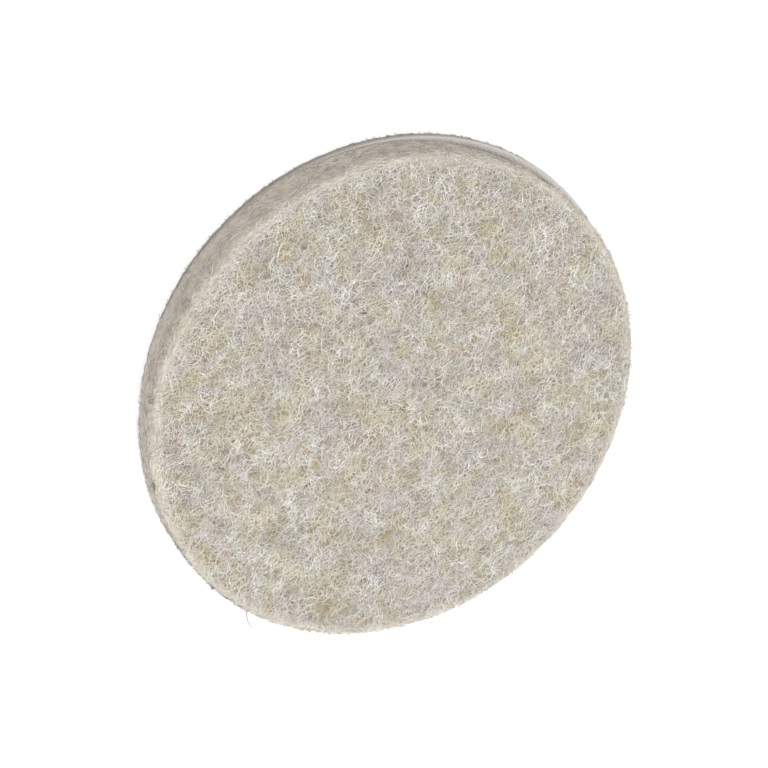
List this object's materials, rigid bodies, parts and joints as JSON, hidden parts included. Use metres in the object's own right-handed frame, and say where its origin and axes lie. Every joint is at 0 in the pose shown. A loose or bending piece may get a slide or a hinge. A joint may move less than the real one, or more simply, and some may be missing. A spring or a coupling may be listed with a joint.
{
  "type": "felt polishing wheel",
  "caption": "Thick round wool felt polishing wheel with a soft rounded face edge and a grey-beige brushed-loop backing that grips a hook-faced backing pad.",
  "frame": {"origin": "centre of the back, in the plane of the loop tips, on the felt wheel's own axis", "axes": "+Z is the wheel's axis and points out of the polishing face; the backing is laid off centre towards -X and slightly towards +Y"},
  "size_m": [0.0759, 0.0752, 0.008],
  "materials": {
    "wool_felt": "needled natural wool felt, mixed cream and grey fibres, matt and fuzzy",
    "hot_melt_film": "translucent straw-coloured hot-melt adhesive",
    "knit_ground": "fine off-white knitted polyester",
    "brushed_loops": "brushed grey-beige polyester loop pile"
  },
  "bodies": {
    "root": {"felt_wheel": "wool_felt", "bond_film": "hot_melt_film", "backing_cloth": "knit_ground", "loop_pile": "brushed_loops"}
  },
  "joints": []
}
